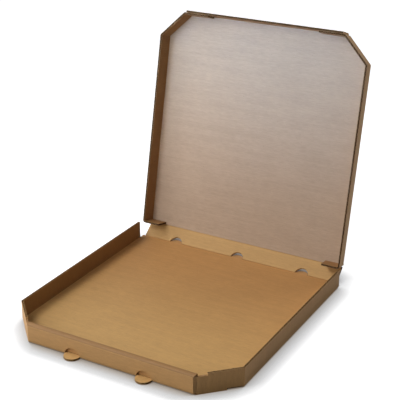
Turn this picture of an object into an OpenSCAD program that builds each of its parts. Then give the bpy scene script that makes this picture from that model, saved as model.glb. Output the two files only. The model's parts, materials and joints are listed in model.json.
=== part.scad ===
// Plain kraft pizza box, folded from one die-cut sheet of corrugated board.
// Frame: X to the right, Y to the back, Z up, origin at the middle of the tray's underside.
// The lid stands open. It swings on two creases, with the back wall between them as its spine.

/* [Board] */
// Thickness of the corrugated board
board = 3; // [2:0.1:4]
// Radius on the inside of a fold
fold_r = 1; // [0.5:0.1:1.5]
// Room in a crease for the board to turn
crease_gap = 0.3; // [0.2:0.05:0.6]
// Room between plies that lie against each other
ply_gap = 0.3; // [0.2:0.05:0.6]

/* [Tray] */
// Width over the side walls
tray_w = 362; // [280:1:450]
// Depth from the front face to the back crease
tray_d = 372; // [290:1:460]
// Height of the walls
tray_h = 30; // [24:0.5:45]
// Length that each front corner is cut back along its two sides
tray_cut = 49; // [36:1:70]
// Length that the side walls stop short of the back crease
wall_relief = 10; // [6:0.5:20]
// Length of the tuck flap behind each end of the front wall
tray_tuck = 92; // [30:1:100]

/* [Vents] */
// Radius of the half-round vents in the front wall
front_vent_r = 12; // [6:0.5:14]
// Distance between the front vents
front_vent_pitch = 115; // [60:1:160]
// Radius of the half-round vents in the back wall
back_vent_r = 10; // [5:0.5:14]
// Distance between the back vents
back_vent_pitch = 114; // [50:1:125]
// Room between a vent and the tab cut from it
vent_gap = 1; // [0.8:0.1:2]

/* [Lid] */
// Room on each side between the lid and the side walls
lid_side_gap = 3; // [0.5:0.1:5]
// Room between the lid's front wall and the tray's
lid_front_gap = 4; // [1:0.1:6]
// Room between the lid's free edges and the tray floor
lid_floor_gap = 2.5; // [0.5:0.1:4]
// How far the closed lid stands above the tray walls
lid_proud = 1; // [0:0.1:4]
// Length that each front corner of the lid is cut back
lid_cut = 42; // [30:1:60]
// Length of the tuck flap behind each end of the lid's front wall
lid_tuck = 42; // [20:1:70]
// Length of the tab on the back end of each side wall
lid_tab = 30; // [15:1:45]
// Room between a tab and the back wall
lid_tab_gap = 1.5; // [1:0.1:3]
// How much narrower the back wall is than the lid, on each side
spine_inset = 2; // [1:0.5:8]
// Angle that the open lid leans back past upright
lid_lean = 12; // [0:1:40]

/* [Hidden] */
$fn = 48;
kraft = [0.72, 0.56, 0.38];
kraft_light = [0.76, 0.60, 0.40];
kraft_grey = [0.66, 0.55, 0.44];
// Arc steps in an upright fold, how far a cut runs past the board, and how far a fold laps
// into the flat sheet
fold_steps = 6;
overrun = 1;
lap = 2;
// Shares of a tray corner's length, from the side wall: where it reaches down to the table and
// where its upper edge steps down to pass under the rolled front wall
foot_start_share = 0.34;
shoulder_share = 0.72;
half_board = board / 2;
outer_r = board + fold_r;
seat_r = half_board + crease_gap;
// The front wall is rolled over the tuck flaps: outer ply, flap and inner ply
front_wall = 3 * board + 2 * ply_gap;
crease_y = tray_d / 2 - half_board;
lid_w = tray_w - 2 * (board + lid_side_gap);
lid_d = crease_y + tray_d / 2 - front_wall - lid_front_gap;
lid_h = tray_h + lid_proud - board - lid_floor_gap;
// Distance between the two creases, and the angles of back wall and lid above lying flat:
// both creases turn alike, from flat to a square fold
spine_l = tray_h + lid_proud - board;
spine_w = lid_w - 2 * spine_inset;
lid_angle = 90 - lid_lean;
spine_angle = lid_angle / 2;

// Plan outlines of folded strips
function unit(a) = [cos(a), sin(a)];
function heading(path, i) = atan2(path[i + 1].y - path[i].y, path[i + 1].x - path[i].x);
function turn(path, i) = let (d = heading(path, i) - heading(path, i - 1)) d > 180 ? d - 360 : d;
// Arc of radius r round the fold at point i of a path that always turns right
function fold_arc(path, i, r) =
    let (a = heading(path, i - 1), d = turn(path, i))
    let (centre = path[i] - outer_r * tan(-d / 2) * unit(a) + outer_r * unit(a - 90))
    [for (s = [0:fold_steps]) centre + r * unit(a + 90 + d * s / fold_steps)];
function backwards(list) = [for (i = [len(list) - 1:-1:0]) list[i]];
function last(list) = list[len(list) - 1];
// Outline of a board whose outer face follows the path, with rounded folds
function strip_outline(path) =
    let (n = len(path) - 2)
    let (outer = [for (i = [1:1:n]) each fold_arc(path, i, outer_r)])
    let (inner = [for (i = [1:1:n]) each fold_arc(path, i, fold_r)])
    concat(
        [path[0]], outer, [last(path)],
        [last(path) + board * unit(heading(path, n) - 90)],
        backwards(inner),
        [path[0] + board * unit(heading(path, 0) - 90)]);

// A strip of board on edge, from height low to height high
module strip(path, low, high) {
    translate([0, 0, low]) linear_extrude(high - low) polygon(strip_outline(path));
}

// Quarter-round fold between a flat sheet and a wall, outer corner at the origin
module fold_section() {
    translate([-outer_r, outer_r]) intersection() {
        difference() {
            circle(outer_r);
            circle(fold_r);
        }
        translate([0, -outer_r]) square(outer_r);
    }
    translate([-outer_r - lap, 0]) square([lap, board]);
}

// Section of a wall of one ply, folded up from the sheet
module wall_section(h) {
    fold_section();
    translate([-board, outer_r]) square([board, h - outer_r]);
}

// Rectangle with two round upper corners
module arch(w, h, r) {
    square([w, h - r]);
    translate([r, 0]) square([w - 2 * r, h]);
    for (x = [r, w - r]) translate([x, h - r]) circle(r);
}

// Section of the rolled front wall: outer ply, round top, and inner ply down to the floor
module rolled_section() {
    inner_foot = board + ply_gap;
    fold_section();
    difference() {
        translate([-front_wall, inner_foot]) arch(front_wall, tray_h - inner_foot, outer_r);
        translate([board - front_wall, inner_foot - overrun])
            arch(front_wall - 2 * board, tray_h - board - inner_foot + overrun, fold_r);
        translate([-board - ply_gap, inner_foot - overrun])
            square([board + ply_gap + overrun, outer_r - inner_foot + overrun]);
    }
}

// Runs a section along the right-hand side, from back to front
module along_side(half_w, front, back) {
    translate([half_w, back, 0]) rotate([90, 0, 0]) linear_extrude(back - front) children();
}

// Runs a section along the front
module along_front(w, front) {
    translate([0, front, 0]) rotate([90, 0, -90]) linear_extrude(w, center = true) children();
}

// Runs a section of Y and Z across the box
module across(w) {
    rotate([90, 0, 90]) linear_extrude(w, center = true) children();
}

module both_sides() {
    children();
    mirror([1, 0, 0]) children();
}

// Point on the outer line of a cut front corner, at a share of its length from the side wall
function cut_point(half_w, front, cut, share) =
    [half_w - share * cut, front + (1 - share) * cut];
// Corner of that line and the tuck flap behind the front wall's outer ply
function tuck_corner(half_w, front, cut) =
    [half_w - cut + board + ply_gap, front + board + ply_gap];

// Right-hand side wall with its corner panel and tuck flap; the tail leads in from the back.
// The whole strip has the flap's height, and the wall stands higher as far as the shoulder.
module side_wall(half_w, front, cut, tail, shoulder, h, tuck, tuck_h) {
    corner = tuck_corner(half_w, front, cut);
    bend = cut_point(half_w, front, cut, 0);
    strip(concat(tail, [bend, corner, corner - [tuck, 0]]), outer_r, tuck_h);
    strip(concat(tail, [bend, cut_point(half_w, front, cut, shoulder)]), outer_r, h);
}

// Sheet with cut front corners; the list gives the right-hand points from back to front
module sheet(points) {
    left = [for (p = backwards(points)) [-p.x, p.y]];
    linear_extrude(board) polygon(concat(points, left));
}

// Half-round tab in the plane of the sheet, cut from a wall at a crease
module vent_tabs(places, r) {
    for (x = places) translate([x, 0, 0]) linear_extrude(board) difference() {
        circle(r);
        translate([-r - overrun, outer_r + lap]) square([2 * (r + overrun), r]);
    }
}

// Room that a turning board leaves round its crease, inner face up
module seat_section() {
    circle(seat_r);
    translate([-seat_r - overrun, 0]) square([2 * seat_r + overrun, half_board + overrun]);
    translate([-seat_r - overrun, -half_board - overrun]) square([seat_r + overrun, board + 2 * overrun]);
}

function spread(count, pitch) = [for (i = [0:count - 1]) (i - (count - 1) / 2) * pitch];

module tray() color(kraft) {
    half_w = tray_w / 2;
    front = -tray_d / 2;
    wall_back = tray_d / 2 - wall_relief;
    front_w = tray_w - 2 * tray_cut;
    foot_start = cut_point(half_w, front, tray_cut, foot_start_share);
    foot_end = tuck_corner(half_w, front, tray_cut);
    front_vents = spread(2, front_vent_pitch);
    back_vents = spread(3, back_vent_pitch);
    sheet([
        [half_w - outer_r, crease_y],
        [half_w - outer_r, front + tray_cut],
        [half_w - tray_cut, front + outer_r]]);
    both_sides() {
        along_side(half_w, front + tray_cut, wall_back) wall_section(tray_h);
        side_wall(half_w, front, tray_cut, [[half_w, wall_back]], shoulder_share, tray_h,
            tray_tuck, tray_h - board - ply_gap);
        // Foot of the corner panel, in front of the sheet's cut edge
        strip([foot_start, foot_end], 0, outer_r + overrun);
    }
    difference() {
        along_front(front_w, front) rolled_section();
        for (x = front_vents) translate([x, front + board + half_board, 0])
            rotate([90, 0, 0]) cylinder(h = 2 * board, r = front_vent_r + vent_gap);
    }
    translate([0, front, 0]) vent_tabs(front_vents, front_vent_r);
    // Round nose of the back crease, and the tabs cut from the back wall
    translate([0, crease_y, half_board]) across(spine_w) circle(half_board);
    translate([0, crease_y, 0]) mirror([0, 1, 0]) vent_tabs(back_vents, back_vent_r);
}

module back_wall() color(kraft_light) {
    translate([0, crease_y, half_board]) rotate([spine_angle, 0, 0]) difference() {
        across(spine_w) {
            difference() {
                translate([0, -half_board]) square([spine_l, board]);
                seat_section();
            }
            translate([spine_l, 0]) circle(half_board);
        }
        for (x = spread(3, back_vent_pitch)) translate([x, 0, 0])
            cylinder(h = board + 2 * overrun, r = back_vent_r + vent_gap, center = true);
    }
}

// Lid lying flat with its walls up, its back crease on the X axis and its front towards -Y
module flat_lid() {
    half_w = lid_w / 2;
    front = -lid_d;
    wall_back = -half_board - lid_tab_gap;
    translate([0, 0, -half_board]) {
        difference() {
            sheet([
                [half_w - outer_r, 0],
                [half_w - outer_r, front + lid_cut],
                [half_w - lid_cut, front + outer_r]]);
            translate([0, 0, half_board]) rotate([0, 0, 180])
                across(lid_w) seat_section();
        }
        both_sides() {
            along_side(half_w, front + lid_cut, wall_back - outer_r) wall_section(lid_h);
            side_wall(half_w, front, lid_cut, [[half_w - lid_tab, wall_back], [half_w, wall_back]],
                shoulder_share, lid_h, lid_tuck, lid_h);
        }
        along_front(lid_w - 2 * lid_cut, front) wall_section(lid_h);
    }
}

module lid() color(kraft_grey) {
    translate([0, crease_y, half_board]) rotate([spine_angle, 0, 0]) translate([0, spine_l, 0])
        rotate([lid_angle - spine_angle, 0, 0]) rotate([0, 0, 180]) flat_lid();
}

tray();
back_wall();
lid();
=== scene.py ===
"""Open pizza box of brown corrugated board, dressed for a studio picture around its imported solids."""

import functools
import json
import logging
import math
from dataclasses import dataclass, field
from enum import IntEnum
from typing import Any

import bmesh
import bpy
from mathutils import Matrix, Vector


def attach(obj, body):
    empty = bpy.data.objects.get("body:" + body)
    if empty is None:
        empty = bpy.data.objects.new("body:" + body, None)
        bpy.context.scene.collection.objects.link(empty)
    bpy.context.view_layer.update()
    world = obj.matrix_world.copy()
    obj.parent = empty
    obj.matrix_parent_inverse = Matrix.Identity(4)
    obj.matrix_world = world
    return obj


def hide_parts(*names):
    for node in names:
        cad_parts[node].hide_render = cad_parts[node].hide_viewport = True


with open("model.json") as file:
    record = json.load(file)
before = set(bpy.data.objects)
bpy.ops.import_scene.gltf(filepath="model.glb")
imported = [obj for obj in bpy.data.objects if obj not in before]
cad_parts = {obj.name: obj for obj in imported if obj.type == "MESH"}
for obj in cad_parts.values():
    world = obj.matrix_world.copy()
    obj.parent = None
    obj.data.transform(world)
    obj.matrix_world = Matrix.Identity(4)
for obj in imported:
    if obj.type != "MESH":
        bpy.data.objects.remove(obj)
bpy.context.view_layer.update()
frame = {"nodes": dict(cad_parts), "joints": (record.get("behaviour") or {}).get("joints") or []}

log = logging.getLogger("pizza_box")

Colour = tuple[float, float, float]
Point = tuple[float, float, float]
Span = tuple[float, float]
Socket = bpy.types.NodeSocket

MM = 0.001
BOARD = 3 * MM
FLUTE = 6.5 * MM
BLANK_MAP = "blank"
WHITE = (1.0, 1.0, 1.0)

# How squarely a face has to point in a direction to count as facing it, half turned to it or turned to it
FACING = 0.9
HALF_TURNED = 0.5
TURNED = 0.3

# How near a point has to lie to a place to count as lying there, along the sheet and over it
TOUCH = 0.02 * MM
LEVEL = 0.05 * MM

# Shortest run that a share is measured on, as a length and as a squared length
SHORT_RUN = 1e-9
SHORT_SQUARE = 1e-12

# How far the back wall and the lid stand over the floor behind the box, in degrees
BACK_WALL_LEAN = 39
LID_LEAN = 78
SQUARE = 90


class Layer(IntEnum):
    """What a face of the board shows, in the order of a piece's material slots."""

    INSIDE = 0
    OUTSIDE = 1
    PANEL = 2
    CUT = 3
    HOLLOW = 4


class Wall(IntEnum):
    """The part of a folded pan that a face belongs to."""

    PANEL = 0
    SIDE = 1
    CORNER = 2
    FRONT = 3


@dataclass(frozen=True)
class Grain:
    """A noise pattern in paper, by its scale, its detail and its roughness."""

    scale: float
    detail: float
    rough: float


class Graph:
    """A material's node tree, with short calls that add nodes and join them."""

    def __init__(self, name: str) -> None:
        """Starts an empty tree that ends in a principled shader.

        Args:
            name: name of the material.
        """
        self.material = bpy.data.materials.new(name)
        self.material.use_nodes = True
        self.tree = self.material.node_tree
        self.tree.nodes.clear()
        output = self.tree.nodes.new("ShaderNodeOutputMaterial")
        self.shader = self.tree.nodes.new("ShaderNodeBsdfPrincipled")
        self.tree.links.new(self.shader.outputs["BSDF"], output.inputs["Surface"])

    def put(self, socket: Socket, value: Any) -> None:
        """Joins an input to an output, or sets its plain value.

        Args:
            socket: input to feed.
            value: output of another node, or a plain value.
        """
        if isinstance(value, Socket):
            self.tree.links.new(value, socket)
        else:
            socket.default_value = value

    def feed(self, name: str, value: Any) -> None:
        """Feeds an input of the material's shader."""
        self.put(self.shader.inputs[name], value)

    def add(self, kind: str, *values: Any, **settings: Any) -> bpy.types.Node:
        """Adds a node.

        Args:
            kind: node type, without its ShaderNode prefix.
            values: what its first inputs take in turn; None leaves an input as it is.
            settings: properties of the node, or inputs by name in capitals.

        Returns:
            The new node.
        """
        node = self.tree.nodes.new("ShaderNode" + kind)
        for key, value in settings.items():
            if key[0].isupper():
                self.put(node.inputs[key.replace("_", " ")], value)
            else:
                setattr(node, key, value)
        for socket, value in zip(node.inputs, values):
            if value is not None:
                self.put(socket, value)
        return node

    def math(self, operation: str, *values: Any) -> Socket:
        """Adds a sum or other plain operation and gives its result."""
        return self.add("Math", *values, operation=operation).outputs[0]

    def fade(self, value: Any, span: Span, levels: Span = (0.0, 1.0)) -> Socket:
        """Maps a value smoothly from a span of values onto two levels, and stops there."""
        return self.add("MapRange", value, *span, *levels, interpolation_type="SMOOTHSTEP").outputs[0]

    def tint(self, share: Any, first: Any, second: Any, blend: str = "MIX") -> Socket:
        """Mixes two colours by a share.

        Args:
            share: how much of the second colour is taken.
            first: colour at share 0.
            second: colour at share 1.
            blend: the way of mixing.

        Returns:
            The mixed colour.
        """
        node = self.add("Mix", data_type="RGBA", blend_type=blend)
        # The sockets for colours come after those for numbers and vectors, under the same names
        self.put(node.inputs[0], share)
        self.put(node.inputs[6], first)
        self.put(node.inputs[7], second)
        return node.outputs[2]

    def noise(self, place: Any, grain: Grain) -> Socket:
        """Adds a noise texture and gives its value."""
        node = self.add("TexNoise", Vector=place, Scale=grain.scale, Detail=grain.detail,
                        Roughness=grain.rough)
        return node.outputs["Fac"]

    def relief(self, height: Any, strength: float) -> None:
        """Gives the material a fine relief, with heights in millimetres."""
        bump = self.add("Bump", Strength=strength, Distance=MM, Height=height)
        self.feed("Normal", bump.outputs[0])


def shade(colour: Colour, level: float = 1.0) -> tuple[float, float, float, float]:
    """Gives a colour at another level of light, with full cover."""
    return (colour[0] * level, colour[1] * level, colour[2] * level, 1.0)


@dataclass(frozen=True)
class KraftLiner:
    """Uncoated paper liner: clouds, fibres, specks, faint flute lines and rubbed creases.

    Lengths are in metres on the flat sheet, where q runs along the flutes and p across them.
    """

    name: str
    colour: Colour
    creases_p: tuple[float, ...] = ()
    creases_q: tuple[float, ...] = ()
    # The two tints below paint light and shade across the sheet: the first end darker and warmer as
    # painted shade and bounce, the last paler and cooler as painted light and sheen.
    painted_shade_tint: Colour = WHITE
    painted_light_tint: Colour = WHITE
    painted_light_run: Span = (-150 * MM, 150 * MM)
    clouds: Grain = Grain(24.0, 5.0, 0.62)
    bands: Grain = Grain(1.0, 3.0, 0.55)
    band_stretch: Span = (9.0, 110.0)
    band_share: float = 0.55
    cloud_span: Span = (0.34, 0.66)
    cloud_depth: float = 0.045
    fibres: Grain = Grain(1.0, 3.0, 0.6)
    fibre_stretch: Span = (90.0, 620.0)
    fibre_span: Span = (0.25, 0.75)
    fibre_depth: float = 0.065
    specks: Grain = Grain(520.0, 1.0, 0.5)
    speck_span: Span = (0.69, 0.75)
    speck_share: float = 0.35
    speck_level: float = 0.42
    crease_width: float = 5 * MM
    rub_share: float = 0.22
    rub_level: float = 1.35
    felt: Grain = Grain(1400.0, 3.0, 0.7)
    felt_span: Span = (0.2, 0.8)
    roughness: Span = (0.54, 0.72)
    sheen: float = 0.36
    flute: float = FLUTE
    flute_rise: float = 0.03
    felt_rise: float = 0.05
    fibre_rise: float = 0.05
    wrinkles: Grain = Grain(260.0, 2.0, 0.6)
    wrinkle_rise: float = 0.22
    relief: float = 0.9

    def material(self) -> bpy.types.Material:
        """Builds the liner's material.

        Returns:
            The material.
        """
        g = Graph(self.name)
        sheet = g.add("UVMap", uv_map=BLANK_MAP).outputs[0]
        parts = g.add("SeparateXYZ", sheet)
        q, p = parts.outputs[0], parts.outputs[1]
        clouds = g.noise(sheet, self.clouds)
        bands = g.noise(self.stretched(g, q, p, self.band_stretch), self.bands)
        clouds = g.math("MULTIPLY", clouds, 1 - self.band_share)
        clouds = g.math("MULTIPLY_ADD", bands, self.band_share, clouds)
        fibres = g.noise(self.stretched(g, q, p, self.fibre_stretch), self.fibres)
        felt = g.noise(sheet, self.felt)
        specks = g.fade(g.noise(sheet, self.specks), self.speck_span)
        creased = self.crease_share(g, q, p)

        dark, light = self.either_side(self.colour, self.cloud_depth)
        tone = g.tint(g.fade(clouds, self.cloud_span), dark, light)
        dark, light = self.either_side(WHITE, self.fibre_depth)
        tone = g.tint(1.0, tone, g.tint(g.fade(fibres, self.fibre_span), dark, light), "MULTIPLY")
        speck_share = g.math("MULTIPLY", specks, self.speck_share)
        tone = g.tint(speck_share, tone, shade(self.colour, self.speck_level))
        rub_share = g.math("MULTIPLY", creased, self.rub_share)
        tone = g.tint(rub_share, tone, shade(self.colour, self.rub_level))
        # Painted light and shade: the tone is tinted along the sheet from a painted shade at one end to
        # painted light at the other.
        if self.painted_shade_tint != self.painted_light_tint:
            painted_light_gradient = g.tint(g.fade(p, self.painted_light_run), shade(self.painted_shade_tint), shade(self.painted_light_tint))
            tone = g.tint(1.0, tone, painted_light_gradient, "MULTIPLY")
        g.feed("Base Color", tone)
        g.feed("Roughness", g.fade(felt, self.felt_span, self.roughness))
        g.feed("Specular IOR Level", self.sheen)

        wave = g.math("SINE", g.math("MULTIPLY", p, 2 * math.pi / self.flute))
        wrinkle = g.math("MULTIPLY", g.noise(sheet, self.wrinkles), creased)
        height = g.math("MULTIPLY_ADD", wave, self.flute_rise, g.math("MULTIPLY", felt, self.felt_rise))
        height = g.math("MULTIPLY_ADD", fibres, self.fibre_rise, height)
        height = g.math("MULTIPLY_ADD", wrinkle, self.wrinkle_rise, height)
        g.relief(height, self.relief)
        return g.material

    def either_side(self, colour: Colour, depth: float) -> tuple[Any, Any]:
        """Gives a colour a little darker and a little lighter than it is."""
        return shade(colour, 1.0 - depth), shade(colour, 1.0 + depth)

    def stretched(self, g: Graph, q: Any, p: Any, stretch: Span) -> Socket:
        """Gives the place on the sheet, scaled along and across the flutes."""
        along, across = (g.math("MULTIPLY", place, scale) for place, scale in zip((q, p), stretch))
        return g.add("CombineXYZ", along, across).outputs[0]

    def crease_share(self, g: Graph, q: Any, p: Any) -> Socket:
        """Gives 1 on a crease, falling to 0 beside it.

        Args:
            g: tree to add to.
            q: place along the flutes.
            p: place across the flutes.

        Returns:
            The share of a crease at each point.
        """
        nearest: Any = 1.0
        across = g.math("ABSOLUTE", q)
        for place, lines in ((p, self.creases_p), (across, self.creases_q)):
            for line in lines:
                gap = g.math("ABSOLUTE", g.math("SUBTRACT", place, line))
                nearest = g.math("MINIMUM", nearest, gap)
        return g.fade(nearest, (0.0, self.crease_width), (1.0, 0.0))


@dataclass(frozen=True)
class CutPaper:
    """Raw cut edge of the liners, pale and fibrous, or the paper of the flutes."""

    # Darker copies of this paper are painted shade: the hollow between the liners and the edges of pieces
    # that stand in shade.
    name: str
    colour: Colour
    depth: float = 0.2
    coarse: Grain = Grain(180.0, 3.0, 0.6)
    coarse_span: Span = (0.3, 0.7)
    fine: Grain = Grain(2400.0, 2.0, 0.6)
    fine_span: Span = (0.2, 0.8)
    fibre_share: float = 0.4
    fibre_level: float = 0.6
    roughness: Span = (0.85, 0.97)
    sheen: float = 0.12
    fibre_rise: float = 0.15
    relief: float = 0.8

    def material(self) -> bpy.types.Material:
        """Builds the paper's material.

        Returns:
            The material.
        """
        g = Graph(self.name)
        place = g.add("TexCoord").outputs["Object"]
        coarse = g.noise(place, self.coarse)
        fine = g.noise(place, self.fine)
        dark, light = shade(self.colour, 1 - self.depth), shade(self.colour, 1 + self.depth)
        tone = g.tint(g.fade(coarse, self.coarse_span), dark, light)
        fibre_share = g.math("MULTIPLY", fine, self.fibre_share)
        g.feed("Base Color", g.tint(fibre_share, tone, shade(self.colour, self.fibre_level)))
        g.feed("Roughness", g.fade(fine, self.fine_span, self.roughness))
        g.feed("Specular IOR Level", self.sheen)
        g.relief(g.math("MULTIPLY", fine, self.fibre_rise), self.relief)
        return g.material


@functools.cache
def material_of(paper: KraftLiner | CutPaper) -> bpy.types.Material:
    """Builds a paper's material, once for all the pieces that show it."""
    return paper.material()


@dataclass(frozen=True)
class CutEdge:
    """The papers of an open cut edge: the liners' rims, the hollow between them and the fluting."""

    rim: CutPaper
    hollow: CutPaper
    fluting: CutPaper


@dataclass
class Strip:
    """One cut edge of the board: its faces and the line along its middle."""

    faces: list[bmesh.types.BMFace]
    middle: list[Vector] = field(default_factory=list)
    across: list[Vector] = field(default_factory=list)
    out: list[Vector] = field(default_factory=list)


@dataclass
class BoardPiece:
    """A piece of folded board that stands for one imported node, with open cut edges and fluting."""

    node: str
    slot: str
    origin: Vector
    forward: Vector
    upward: Vector
    edge: CutEdge
    outer_colour: Colour = (0.495, 0.275, 0.105)
    liner: float = 0.4 * MM
    pit: float = 1.2 * MM
    pit_taper: float = 0.01 * MM
    flute: float = FLUTE
    flute_height: float = 0.95 * MM
    medium: float = 0.26 * MM
    medium_drop: float = 0.12 * MM
    medium_lap: float = 0.05 * MM
    step: float = 0.5 * MM
    fewest_points: int = 4
    shortest_cut: float = 7 * MM
    width_slack: float = 0.06 * BOARD
    end_slack: float = 0.05 * BOARD
    same_run: float = 0.7
    merge_distance: float = 1e-6
    flat_angle: float = 0.5
    sharp_angle: float = 35.0

    def liners(self) -> tuple[KraftLiner, ...]:
        """Gives the papers of the inside, the outside and the panel, in the order of Layer."""
        raise NotImplementedError

    def local(self, point: Vector) -> Point:
        """Gives a point as x, f forward from the back crease and h up from the middle of the sheet."""
        arm = point - self.origin
        return (point.x, arm.dot(self.forward), arm.dot(self.upward))

    def world(self, x: float, f: float, h: float) -> Vector:
        """Gives the point that lies at x, f and h."""
        return Vector((x, 0, 0)) + self.origin + self.forward * f + self.upward * h

    def wall_of(self, face: bmesh.types.BMFace) -> Wall:
        """Tells which part of the sheet a face belongs to."""
        return Wall.PANEL

    def blank(self, wall: Wall, x: float, f: float, h: float) -> Span:
        """Gives a point's place on the flat sheet, along and across the flutes."""
        return (x, f)

    def layer_of(self, face: bmesh.types.BMFace) -> Layer:
        """Tells which paper a face shows."""
        return Layer.INSIDE if face.normal.dot(self.upward) > 0 else Layer.OUTSIDE

    def phase(self, points: list[Point]) -> list[float]:
        """Gives how far across the flutes each point of a cut edge lies."""
        return [point[1] for point in points]

    def closed(self, face: bmesh.types.BMFace) -> bool:
        """Tells whether a cut edge was pressed shut by its die."""
        return False

    def bent(self, x: float, f: float, h: float) -> Point:
        """Gives where a point goes as the board springs; stiff pieces stay."""
        return (x, f, h)

    def build(self) -> None:
        """Builds the board and its fluting, dresses them and sets them on their body."""
        source = frame["nodes"][self.node]
        mesh = source.data.copy()
        mesh.name = self.node + "_board"
        sheet = bmesh.new()
        sheet.from_mesh(mesh)
        self.clean(sheet)
        strips = self.cut_edges(sheet)
        self.paint(sheet)
        self.map_blank(sheet)
        ribbons = bmesh.new()
        for strip in strips:
            self.trace(strip)
        for strip in strips:
            self.open_edge(sheet, strip)
            self.add_fluting(ribbons, strip)
        self.spring(sheet)
        self.spring(ribbons)
        board = self.place(sheet, mesh, self.node + "_board")
        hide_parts(self.node)
        flutes = self.place(ribbons, bpy.data.meshes.new(self.node + "_fluting"), self.node + "_fluting")
        self.dress(board, flutes)
        log.info("%s: %d cut edges, %d faces, %d faces of fluting", self.node, len(strips),
                 len(board.data.polygons), len(flutes.data.polygons))

    def dress(self, board: bpy.types.Object, flutes: bpy.types.Object) -> None:
        """Lays the papers on the board, in the order of Layer, and on its fluting.

        Args:
            board: finished board.
            flutes: finished fluting of its cut edges.
        """
        for paper in (*self.liners(), self.edge.rim, self.edge.hollow):
            board.data.materials.append(material_of(paper))
        flutes.data.materials.append(material_of(self.edge.fluting))

    def clean(self, sheet: bmesh.types.BMesh) -> None:
        """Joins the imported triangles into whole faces.

        Args:
            sheet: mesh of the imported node.
        """
        bmesh.ops.remove_doubles(sheet, verts=sheet.verts, dist=self.merge_distance)
        bmesh.ops.dissolve_limit(sheet, angle_limit=math.radians(self.flat_angle), verts=sheet.verts,
                                 edges=sheet.edges)
        sheet.normal_update()

    def is_band(self, face: bmesh.types.BMFace) -> bool:
        """Tells whether a face is as wide as the board is thick and was cut open.

        Args:
            face: face of the board.

        Returns:
            Whether it belongs to an open cut edge.
        """
        run = sum(edge.calc_length() for edge in face.edges) - 2 * BOARD
        as_wide = run > 0 and abs(2 * face.calc_area() / run - BOARD) < self.width_slack
        return as_wide and not self.closed(face)

    def cut_edges(self, sheet: bmesh.types.BMesh) -> list[Strip]:
        """Finds the cut edges: bands as wide as the board is thick.

        Args:
            sheet: cleaned board.

        Returns:
            One strip per cut edge, the long ones only.
        """
        bands = {face for face in sheet.faces if self.is_band(face)}
        strips = []
        for first in sheet.faces:
            if first not in bands or first.normal.dot(self.upward) < -FACING:
                continue
            bands.discard(first)
            group, queue = [], [first]
            while queue:
                face = queue.pop()
                group.append(face)
                for edge in face.edges:
                    if abs(edge.calc_length() - BOARD) > self.end_slack:
                        continue
                    for other in edge.link_faces:
                        if other in bands and other.normal.dot(face.normal) > self.same_run:
                            bands.discard(other)
                            queue.append(other)
            if sum(face.calc_area() for face in group) > self.shortest_cut * BOARD:
                strips.append(Strip(group))
        return strips

    def trace(self, strip: Strip) -> None:
        """Follows the middle of a cut edge from end to end, if it has two square ends.

        Args:
            strip: cut edge, which gets its line.
        """
        group = set(strip.faces)
        rim = {}
        for face in strip.faces:
            for loop in face.loops:
                if sum(other in group for other in loop.edge.link_faces) == 1:
                    rim[loop.vert] = loop.link_loop_next.vert
        first = next(iter(rim))
        ring = [first]
        while rim[ring[-1]] is not first and len(ring) <= len(rim):
            ring.append(rim[ring[-1]])
        count = len(ring)
        ends = [i for i in range(count)
                if abs((ring[(i + 1) % count].co - ring[i].co).length - BOARD) < self.width_slack]
        if len(ends) != 2:
            return
        start, stop = ends
        side = [ring[i] for i in range(start + 1, stop + 1)]
        other = [ring[i % count].co for i in range(stop + 1, start + count + 1)]
        for vert in side:
            facing = next((f.normal for f in vert.link_faces if f in group), strip.faces[0].normal)
            mate = min((nearest_on(vert.co, a, b) for a, b in zip(other, other[1:])),
                       key=lambda point: (point - vert.co).length)
            strip.middle.append((vert.co + mate) / 2)
            strip.across.append((mate - vert.co).normalized())
            strip.out.append(facing.copy())

    def open_edge(self, sheet: bmesh.types.BMesh, strip: Strip) -> None:
        """Opens a cut edge between its two liners.

        Args:
            sheet: mesh of the board.
            strip: cut edge to open.
        """
        rim = bmesh.ops.inset_region(sheet, faces=strip.faces, thickness=self.liner, use_boundary=True,
                                     use_even_offset=False)["faces"]
        walls = bmesh.ops.inset_region(sheet, faces=strip.faces, thickness=self.pit_taper, depth=-self.pit,
                                       use_boundary=True, use_even_offset=False)["faces"]
        for face in rim:
            face.material_index = Layer.CUT
        # The hollow between the liners takes a darker paper: painted shade in the recess.
        for face in [*walls, *strip.faces]:
            face.material_index = Layer.HOLLOW

    def add_fluting(self, ribbons: bmesh.types.BMesh, strip: Strip) -> None:
        """Lays a waved ribbon of paper along an open cut edge.

        Args:
            ribbons: mesh that the ribbon is added to.
            strip: traced cut edge.
        """
        if len(strip.middle) < 2:
            return
        line = resample(strip, self.step, 2 * self.liner)
        if len(line) < self.fewest_points:
            return
        places = self.phase([self.local(point) for point, _, _ in line])
        waves = [self.flute_height * math.sin(2 * math.pi * place / self.flute) for place in places]
        crest = [point + across * wave for (point, across, _), wave in zip(line, waves)]
        rows = []
        for i, (_, _, out) in enumerate(line):
            run = crest[min(i + 1, len(crest) - 1)] - crest[max(i - 1, 0)]
            half = out.cross(run).normalized() * (self.medium / 2)
            top = crest[i] - out * self.medium_drop
            low = crest[i] - out * (self.pit + self.medium_lap)
            rows.append([ribbons.verts.new(v) for v in (top - half, top + half, low + half, low - half)])
        for near, far in zip(rows, rows[1:]):
            for i in range(len(near)):
                j = (i + 1) % len(near)
                ribbons.faces.new((near[i], far[i], far[j], near[j]))
        ribbons.faces.new(rows[0])
        ribbons.faces.new(reversed(rows[-1]))

    def paint(self, sheet: bmesh.types.BMesh) -> None:
        """Gives each face its paper."""
        for face in sheet.faces:
            face.material_index = Layer.OUTSIDE if self.closed(face) else self.layer_of(face)

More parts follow.
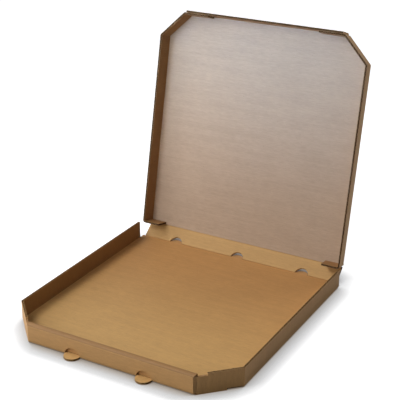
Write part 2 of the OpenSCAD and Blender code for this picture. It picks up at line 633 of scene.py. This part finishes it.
    def map_blank(self, sheet: bmesh.types.BMesh) -> None:
        """Maps every face onto the flat sheet that the box is folded from.

        Args:
            sheet: mesh of the board.
        """
        flat = sheet.loops.layers.uv.new(BLANK_MAP)
        for face in sheet.faces:
            wall = self.wall_of(face)
            for loop in face.loops:
                loop[flat].uv = self.blank(wall, *self.local(loop.vert.co))

    def spring(self, mesh: bmesh.types.BMesh) -> None:
        """Moves every point to where the springy board stands."""
        for vert in mesh.verts:
            vert.co = self.world(*self.bent(*self.local(vert.co)))

    def place(self, built: bmesh.types.BMesh, mesh: bpy.types.Mesh, name: str) -> bpy.types.Object:
        """Turns a built mesh into an object that rides on the piece's body.

        Args:
            built: finished mesh, which is freed.
            mesh: data block to write it to.
            name: name of the object.

        Returns:
            The object.
        """
        bmesh.ops.recalc_face_normals(built, faces=built.faces)
        mesh.materials.clear()
        built.to_mesh(mesh)
        built.free()
        for polygon in mesh.polygons:
            polygon.use_smooth = True
        mesh.set_sharp_from_angle(angle=math.radians(self.sharp_angle))
        piece = bpy.data.objects.new(name, mesh)
        bpy.context.scene.collection.objects.link(piece)
        facing = piece.modifiers.new("facing", "WEIGHTED_NORMAL")
        facing.keep_sharp = True
        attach(piece, self.node)
        return piece


def nearest_on(point: Vector, start: Vector, end: Vector) -> Vector:
    """Gives the point of a straight run that lies nearest to another point.

    Args:
        point: point to come near to.
        start: first end of the run.
        end: last end of the run.

    Returns:
        The nearest point.
    """
    run = end - start
    share = (point - start).dot(run) / max(run.length_squared, SHORT_SQUARE)
    return start + run * clamped(share)


def clamped(share: float) -> float:
    """Keeps a share between 0 and 1."""
    return min(max(share, 0.0), 1.0)


def resample(strip: Strip, step: float, margin: float) -> list[tuple[Vector, Vector, Vector]]:
    """Spaces points evenly along the middle of a cut edge.

    Args:
        strip: traced cut edge.
        step: distance between points.
        margin: length left free at each end.

    Returns:
        Points, each with the direction across the board and the one out of the edge.
    """
    runs = [(b - a).length for a, b in zip(strip.middle, strip.middle[1:])]
    total = sum(runs)
    count = max(2, int((total - 2 * margin) / step))
    points = []
    index, passed = 0, 0.0
    for i in range(count + 1):
        at = margin + (total - 2 * margin) * i / count
        while index < len(runs) - 1 and passed + runs[index] < at:
            passed += runs[index]
            index += 1
        share = (at - passed) / max(runs[index], SHORT_RUN)
        point = strip.middle[index].lerp(strip.middle[index + 1], share)
        across = strip.across[index].lerp(strip.across[index + 1], share).normalized()
        out = strip.out[index].lerp(strip.out[index + 1], share).normalized()
        points.append((point, across, out))
    return points


@dataclass
class FoldedPan(BoardPiece):
    """A panel with folded side walls, cut corners and a front wall."""

    half_width: float = 0.0
    front: float = 0.0
    corner_cut: float = 0.0
    wall_height: float = 0.0
    side_start: float = 0.0
    folds_p: tuple[float, ...] = ()
    folds_q: tuple[float, ...] = ()
    # Colour of the walls' inside: a darker copy of the liner, painted shade.
    shaded_wall_colour: Colour = WHITE
    panel_name: str = "panel"
    panel_colour: Colour = WHITE
    panel_painted_shade_tint: Colour = WHITE
    panel_painted_light_tint: Colour = WHITE
    panel_painted_light_run: Span = (0.0, 1.0)
    fold_top: float = 2.5 * MM
    settled: float = 1.6 * MM
    front_depth: float = 5 * BOARD
    rim_depth: float = 2 * BOARD
    vent_depth: float = 1.1 * BOARD
    side_depth: float = 1.02 * BOARD
    front_lap: float = 1.9 * MM
    corner_slope: float = 0.35

    @property
    def bend(self) -> float:
        """Place of the bend between side wall and corner panel."""
        return self.front - self.corner_cut

    @property
    def front_half(self) -> float:
        """Half the length of the front wall."""
        return self.half_width - self.corner_cut

    def liners(self) -> tuple[KraftLiner, ...]:
        """Gives the papers of the walls' inside, the outside and the panel.

        Returns:
            One liner for each of the first layers, in their order.
        """
        folds = (self.folds_p, self.folds_q)
        return (
            # The walls' inside paper is a darker copy of the liner: painted shade.
            KraftLiner(self.node + "_walls_painted_shade", self.shaded_wall_colour, *folds),
            KraftLiner(self.node + "_outside", self.outer_colour, *folds),
            KraftLiner(f"{self.node}_{self.panel_name}", self.panel_colour, *folds,
                       self.panel_painted_shade_tint, self.panel_painted_light_tint, self.panel_painted_light_run),
        )

    def wall_of(self, face: bmesh.types.BMFace) -> Wall:
        """Tells which wall a face belongs to, from where it faces.

        Args:
            face: face of the board.

        Returns:
            The wall.
        """
        side = abs(face.normal.x)
        ahead = abs(face.normal.dot(self.forward))
        if abs(face.normal.dot(self.upward)) > FACING:
            return Wall.PANEL
        if ahead < self.corner_slope * side:
            return Wall.SIDE
        if side < self.corner_slope * ahead:
            return Wall.FRONT
        return Wall.CORNER

    def blank(self, wall: Wall, x: float, f: float, h: float) -> Span:
        """Unfolds a point onto the flat sheet.

        Args:
            wall: wall that the point's face belongs to.
            x: place to the right.
            f: place forward.
            h: place up from the sheet.

        Returns:
            The place along the flutes and the place across them.
        """
        sign = math.copysign(1.0, x)
        if wall is Wall.SIDE:
            return (sign * (self.half_width + h), f)
        if wall is Wall.FRONT:
            return (x, self.front + h)
        if wall is Wall.CORNER:
            run = math.hypot(abs(x) - self.half_width, f - self.bend)
            return (sign * (self.half_width + h), self.bend + run)
        if h > self.wall_height / 2:
            return (x, 2 * self.front + self.wall_height - f)
        return (x, f)

    def layer_of(self, face: bmesh.types.BMFace) -> Layer:
        """Tells whether a face shows the inner liner, the outer one or the inside of the panel.

        Args:
            face: face of the board.

        Returns:
            The layer.
        """
        x, f, h = self.local(face.calc_center_median())
        up = face.normal.dot(self.upward)
        ahead = face.normal.dot(self.forward)
        outward = face.normal.x * math.copysign(1.0, x)
        if up > FACING and h < BOARD:
            return Layer.PANEL
        # Faces turned up along the tops of the walls, the rounded top of the rolled front wall among them,
        # take the darker paper of the walls' inside: painted shade on liner that is the outside.
        if up > TURNED and h > self.wall_height - self.rim_depth:
            return Layer.INSIDE
        beyond = f > self.bend and abs(x) + f > self.half_width + self.bend - self.rim_depth
        if up < -TURNED or (outward > TURNED and abs(x) > self.half_width - self.rim_depth):
            return Layer.OUTSIDE
        if ahead > TURNED and (f > self.front - self.rim_depth or beyond):
            return Layer.OUTSIDE
        return Layer.INSIDE

    def closed(self, face: bmesh.types.BMFace) -> bool:
        """Tells whether a face is the rim of a front vent or an end of the front wall.

        Args:
            face: face of the board.

        Returns:
            Whether the cut edge was pressed shut.
        """
        x, f, h = self.local(face.calc_center_median())
        in_front_wall = self.front - self.front_depth < f < self.front
        if abs(face.normal.dot(self.forward)) > HALF_TURNED or not in_front_wall:
            return False
        at_end = abs(face.normal.x) > FACING and abs(abs(x) - self.front_half) < MM
        in_vent = f > self.front - self.vent_depth and BOARD / 2 < h < self.wall_height - self.rim_depth
        return at_end or (in_vent and abs(x) < self.front_half - MM)

    def bent(self, x: float, f: float, h: float) -> Point:
        """Lets the lower edges of corner panels and tabs settle onto the sheet.

        Args:
            x: place to the right.
            f: place forward.
            h: place up from the sheet.

        Returns:
            The moved point.
        """
        beside_wall = self.side_start - TOUCH < f < self.bend + TOUCH
        on_side_fold = abs(x) > self.half_width - self.side_depth and beside_wall
        in_front = abs(x) < self.front_half + self.front_lap and f > self.bend
        if abs(h - self.fold_top) > LEVEL or on_side_fold or in_front:
            return (x, f, h)
        return (x, f, self.settled)

    def phase(self, points: list[Point]) -> list[float]:
        """Gives how far across the flutes each point of a cut edge lies.

        Args:
            points: points along the edge, as x, f and h.

        Returns:
            One length per point.
        """
        if max(point[2] for point in points) < BOARD:
            return [point[1] for point in points]
        start = self.front - self.front_depth
        in_front = all(abs(x) <= self.front_half + MM and f > start for x, f, _ in points)
        places = [points[0][1]]
        for (x, f, h), (xx, ff, hh) in zip(points, points[1:]):
            run = math.hypot(ff - f, hh - h) if in_front else math.hypot(xx - x, ff - f)
            places.append(places[-1] + run)
        return places


@dataclass
class Tray(FoldedPan):
    """The tray, whose rolled front wall is mitred at its ends to meet the corner panels."""

    half_width: float = 181 * MM
    front: float = 186 * MM
    corner_cut: float = 49 * MM
    wall_height: float = 28.5 * MM
    side_start: float = -176 * MM
    folds_p: tuple[float, ...] = (-183.5 * MM, 184 * MM)
    folds_q: tuple[float, ...] = (179 * MM,)
    # The walls' inside is painted much darker than the floor's liner of the same sheet: painted shade.
    shaded_wall_colour: Colour = (0.31, 0.163, 0.058)
    panel_name: str = "floor"
    panel_colour: Colour = (0.52, 0.294, 0.108)
    # The floor is painted darker and more orange towards the back, as painted shade under the lid and
    # painted bounce, and paler and cooler towards the front, as painted sheen.
    panel_painted_shade_tint: Colour = (0.94, 0.85, 0.79)
    panel_painted_light_tint: Colour = (1.08, 1.14, 1.15)
    panel_painted_light_run: Span = (-150 * MM, 150 * MM)
    end_mitre: float = BOARD
    outer_ply: float = 1.4 * BOARD

    def bent(self, x: float, f: float, h: float) -> Point:
        """Draws the ends of the front wall out to the corner panels, its inner ply by half.

        Args:
            x: place to the right.
            f: place forward.
            h: place up from the sheet.

        Returns:
            The moved point.
        """
        at_end = abs(abs(x) - self.front_half) < TOUCH and f > self.front - self.front_depth
        if not at_end:
            return super().bent(x, f, h)
        reach = min(self.front - f, self.end_mitre)
        if f < self.front - self.outer_ply:
            reach /= 2
        return (x + math.copysign(reach, x), f, h)


@dataclass
class BackWall(BoardPiece):
    """The low panel between the two creases, with open ends."""

    length: float = 28 * MM
    margin: float = 2.5 * MM
    folds: tuple[float, ...] = (1.5 * MM, 26.5 * MM)
    # A little darker than the tray floor's liner of the same sheet: painted shade.
    colour: Colour = (0.465, 0.272, 0.098)

    def liners(self) -> tuple[KraftLiner, ...]:
        """Gives the papers of the inside, the outside and the panel, which is the inside again."""
        inside = KraftLiner(self.node + "_inside", self.colour, self.folds)
        return (inside, KraftLiner(self.node + "_outside", self.outer_colour, self.folds), inside)

    def trace(self, strip: Strip) -> None:
        """Follows the middle of an end from crease to crease.

        Args:
            strip: cut edge, which gets its line.
        """
        facing = strip.faces[0].normal.copy()
        if abs(facing.x) < FACING:
            return
        x = strip.faces[0].calc_center_median().x
        for f in (self.margin, self.length - self.margin):
            strip.middle.append(self.world(x, f, 0.0))
            strip.across.append(self.upward.copy())
            strip.out.append(facing)


@dataclass
class Lid(FoldedPan):
    """The lid, whose walls spring outwards a little from their folds."""

    half_width: float = 175 * MM
    front: float = 356.9 * MM
    corner_cut: float = 42 * MM
    wall_height: float = 24 * MM
    side_start: float = 7 * MM
    folds_p: tuple[float, ...] = (1.5 * MM, 355 * MM)
    folds_q: tuple[float, ...] = (173 * MM,)
    # The walls' inside is painted much darker than the panel's liner of the same sheet: painted shade.
    shaded_wall_colour: Colour = (0.295, 0.148, 0.051)
    # The panel's grey is painted cool light on a liner like the tray's; it is tinted darker and warmer
    # towards the crease as painted bounce and shade, and paler and cooler towards its front edge as
    # painted light and sheen.
    panel_colour: Colour = (0.458, 0.345, 0.248)
    panel_painted_shade_tint: Colour = (0.93, 0.89, 0.87)
    panel_painted_light_tint: Colour = (1.0, 1.06, 1.13)
    panel_painted_light_run: Span = (60 * MM, 330 * MM)
    side_flare: float = 2.1 * MM
    front_flare: float = 3.0 * MM
    corner_flare: Span = (0.6 * MM, 1.5 * MM)
    flare_start: float = 2.5 * MM
    flare_fade: float = 200 * MM
    tab_fold: float = 3.9 * MM
    tab_foot: float = -1.2 * MM

    def bent(self, x: float, f: float, h: float) -> Point:
        """Leans a point of a wall outwards by its height over the fold, and lowers the folds of the tabs.

        Args:
            x: place to the right.
            f: place forward.
            h: place up from the sheet.

        Returns:
            The moved point.
        """
        beside = abs(x) > self.half_width - self.tab_fold and f < self.side_start - TOUCH
        if beside and abs(h - self.fold_top) < LEVEL:
            return (x, f, self.tab_foot)
        x, f, h = super().bent(x, f, h)
        lean = (h - self.flare_start) / (self.wall_height - self.flare_start)
        if lean <= 0:
            return (x, f, h)
        beyond = clamped((abs(x) - self.front_half) / self.corner_cut)
        if f < self.bend - BOARD:
            beyond = 1.0
        corner_x, corner_f = self.corner_flare
        across = corner_x * min(abs(x) / self.front_half, 1.0)
        across += (self.side_flare - corner_x) * beyond
        ahead = self.front_flare + (corner_f - self.front_flare) * beyond
        ahead *= clamped((f - self.bend + self.flare_fade) / self.flare_fade)
        return (x + math.copysign(across, x) * lean, f + ahead * lean, h)


@dataclass(frozen=True)
class Lamp:
    """A round soft lamp that shines on the box."""

    name: str
    place: Point
    power: float
    size: float
    colour: Colour = WHITE
    aim: Point = (0.0, 0.05, 0.1)
    spread: float = 180.0

    def build(self) -> None:
        """Hangs the lamp in its place and turns it to what it lights."""
        lamp = bpy.data.lights.new(self.name, "AREA")
        lamp.shape = "DISK"
        lamp.size = self.size
        lamp.energy = self.power
        lamp.color = self.colour
        lamp.spread = math.radians(self.spread)
        holder = bpy.data.objects.new(self.name, lamp)
        holder.location = self.place
        holder.rotation_euler = (Vector(self.place) - Vector(self.aim)).to_track_quat("Z", "Y").to_euler()
        bpy.context.scene.collection.objects.link(holder)


@dataclass
class Studio:
    """White floor, soft lamps and the camera of the picture."""

    camera_place: Point = (0.71387, -1.19474, 0.77962)
    camera_turn: Point = (66.499, 0.0, 29.538)
    lens: float = 96.83
    sensor: float = 36.0
    far_end: float = 50.0
    lamps: tuple[Lamp, ...] = (
        Lamp("key", (-0.8, -1.0, 1.5), 10.8, 0.7),
        Lamp("front", (-0.7, -1.5, 0.75), 7.8, 0.9),
        Lamp("low", (-1.5, -0.5, 0.5), 7.0, 0.8),
        Lamp("left", (-1.2, 0.0, 1.5), 8.5, 0.7),
        Lamp("near", (-0.1, -0.6, 0.8), 1.15, 0.5),
        Lamp("back", (0.9, 1.5, 1.4), 7.0, 0.8, (1.0, 0.93, 0.8)),
        Lamp("lid_rim", (-0.8, -1.15, 0.6), 0.34, 0.3, (0.4, 0.62, 1.0), (0.02, 0.28, 0.42), 24.0),
        Lamp("lid_side", (-0.22, -1.4, 0.45), 0.068, 0.25, WHITE, (-0.22, 0.24, 0.22), 16.0),
    )
    floor_size: float = 14.0
    floor_drop: float = 0.2 * MM
    floor_tone: float = 0.5
    floor_glow: float = 0.96
    # The floor's shadow near and under the box is painted: ambient occlusion darkens its colour and its
    # glow, and tints the glow warm there.
    shade_samples: int = 16
    shade_power: float = 5.0
    contact_reach: float = 36 * MM
    painted_shadow_level: float = 0.34
    foot_share: float = 0.5
    foot_span: Span = (0.3, 0.68)
    open_sides: tuple[Point, ...] = ((0.34, 0.12, 0.93), (-0.58, 0.22, 0.78))
    front_sky: Point = (0.0, -0.7, 0.7)
    covered_sky: Span = (0.2, 0.46)
    painted_cover_shadow_level: float = 0.25
    painted_shadow_tint_span: Span = (0.4, 0.78)
    painted_shadow_tint: Colour = (1.0, 0.82, 0.64)
    cool: Colour = (0.99, 1.0, 1.015)
    world_level: float = 0.02

    def build(self) -> None:
        """Builds the floor, the lamps, the surroundings and the camera."""
        self.add_floor()
        for lamp in self.lamps:
            lamp.build()
        self.add_world()
        self.add_camera()

    def add_floor(self) -> None:
        """Lays the floor that the box stands on."""
        half = self.floor_size / 2
        mesh = bpy.data.meshes.new("floor")
        corners = [(-half, -half, 0), (half, -half, 0), (half, half, 0), (-half, half, 0)]
        mesh.from_pydata(corners, [], [(0, 1, 2, 3)])
        mesh.materials.append(self.floor_with_painted_shadow())
        floor = bpy.data.objects.new("floor", mesh)
        floor.location.z = -self.floor_drop
        bpy.context.scene.collection.objects.link(floor)

    def openness(self, g: Graph, side: Point) -> Socket:
        """Tells how open the space over the floor is towards a side.

        Args:
            g: tree to add to.
            side: direction of the side.

        Returns:
            1 where nothing stands near, falling to 0 where all is covered.
        """
        normal = g.add("CombineXYZ", *side).outputs[0]
        seen = g.add("AmbientOcclusion", Distance=self.contact_reach, Normal=normal,
                     samples=self.shade_samples)
        return seen.outputs["AO"]

    def floor_with_painted_shadow(self) -> bpy.types.Material:
        """Builds a white paper that stays white to the camera, with a painted shadow near and under the
        box.

        Returns:
            The material.
        """
        g = Graph("floor_with_painted_shadow")
        # Painted shadow: ambient occlusion towards the open sides and the front darkens the colour and the
        # glow near and under the box.
        near: Any = 0.0
        for side in self.open_sides:
            near = g.math("MAXIMUM", near, self.openness(g, side))
        foot = g.fade(near, self.foot_span, (self.foot_share * self.painted_shadow_level, self.painted_shadow_level))
        clear_of_box = g.math("POWER", near, self.shade_power)
        unshadowed_share = g.math("MULTIPLY_ADD", clear_of_box, 1 - self.painted_shadow_level, foot)
        sky = self.openness(g, self.front_sky)
        uncovered = g.fade(sky, self.covered_sky, (self.painted_cover_shadow_level, 1.0))
        unshadowed_share = g.math("MULTIPLY", unshadowed_share, uncovered)
        g.feed("Base Color", g.tint(unshadowed_share, shade(WHITE, 0.0), shade(WHITE, self.floor_tone)))
        g.feed("Roughness", 1.0)
        g.feed("Specular IOR Level", 0.0)
        # Painted warm bounce: the glow turns warmer in the painted shadow.
        cool_share = g.math("MINIMUM", g.fade(near, self.painted_shadow_tint_span), g.fade(sky, self.covered_sky))
        g.feed("Emission Color", g.tint(cool_share, shade(self.painted_shadow_tint), shade(self.cool)))
        path = g.add("LightPath").outputs
        ray = g.math("MAXIMUM", path["Is Camera Ray"], path["Is Glossy Ray"])
        ray = g.math("MAXIMUM", ray, path["Is Transmission Ray"])
        glow = g.math("MULTIPLY", unshadowed_share, self.floor_glow)
        g.feed("Emission Strength", g.math("MULTIPLY", ray, glow))
        return g.material

    def add_world(self) -> None:
        """Surrounds the scene with white for the camera and faint light for the rest."""
        world = bpy.data.worlds.new("studio")
        world.use_nodes = True
        bpy.context.scene.world = world
        nodes, links = world.node_tree.nodes, world.node_tree.links
        back = nodes["Background"]
        back.inputs["Color"].default_value = shade(WHITE)
        path = nodes.new("ShaderNodeLightPath")
        seen = path.outputs["Is Camera Ray"]
        for ray in ("Is Glossy Ray", "Is Transmission Ray"):
            either = nodes.new("ShaderNodeMath")
            either.operation = "MAXIMUM"
            links.new(seen, either.inputs[0])
            links.new(path.outputs[ray], either.inputs[1])
            seen = either.outputs[0]
        level = nodes.new("ShaderNodeMapRange")
        level.inputs["To Min"].default_value = self.world_level
        links.new(seen, level.inputs["Value"])
        links.new(level.outputs["Result"], back.inputs["Strength"])

    def add_camera(self) -> None:
        """Sets the camera at the picture's place and angle."""
        camera = bpy.data.cameras.new("camera")
        camera.lens = self.lens
        camera.sensor_width = self.sensor
        camera.clip_end = self.far_end
        holder = bpy.data.objects.new("camera", camera)
        holder.location = self.camera_place
        holder.rotation_euler = [math.radians(turn) for turn in self.camera_turn]
        bpy.context.scene.collection.objects.link(holder)
        bpy.context.scene.camera = holder


def direction(degrees: float) -> Vector:
    """Gives a direction in the plane across the creases, by its angle over the floor behind the box."""
    return Vector((0, math.cos(math.radians(degrees)), math.sin(math.radians(degrees))))


def joint_place(name: str) -> Vector:
    """Gives where a joint's axis lies."""
    return next(Vector(joint["pos_m"]) for joint in frame["joints"] if joint["name"] == name)


def main() -> None:
    """Builds the box and its studio, and reports each piece."""
    logging.basicConfig(level=logging.INFO, format="%(message)s")
    bpy.context.scene.view_settings.view_transform = "Standard"
    # The lid's and back wall's cut edges are a darker copy of the tray's: painted shade; the hollow
    # between the liners is darker still, painted shade in the recess.
    painted_shade_edge = CutEdge(
        CutPaper("cut_liner", (0.31, 0.19, 0.095)),
        CutPaper("flute_hollow", (0.08, 0.045, 0.022)),
        CutPaper("flute_paper", (0.33, 0.205, 0.105)),
    )
    # The tray's cut edges show the paper's own pale colour, with the hollow painted darker as painted
    # shade in the recess.
    pale_edge = CutEdge(
        CutPaper("tray_cut_liner", (0.46, 0.285, 0.13)),
        CutPaper("tray_flute_hollow", (0.22, 0.125, 0.052)),
        CutPaper("tray_flute_paper", (0.44, 0.27, 0.125)),
    )
    back_crease = joint_place("back_wall_hinge")
    lid_crease = joint_place("lid_hinge")
    tray_middle = Vector((0, 0, back_crease.z))
    pieces = (
        Tray("tray", "tray_board", tray_middle, Vector((0, -1, 0)), Vector((0, 0, 1)), pale_edge),
        BackWall("back_wall", "back_wall_board", back_crease, direction(BACK_WALL_LEAN),
                 direction(BACK_WALL_LEAN + SQUARE), painted_shade_edge),
        Lid("lid", "lid_board", lid_crease, direction(LID_LEAN), direction(LID_LEAN + SQUARE), painted_shade_edge),
    )
    for piece in pieces:
        piece.build()
    Studio().build()


if __name__ == "__main__":
    main()
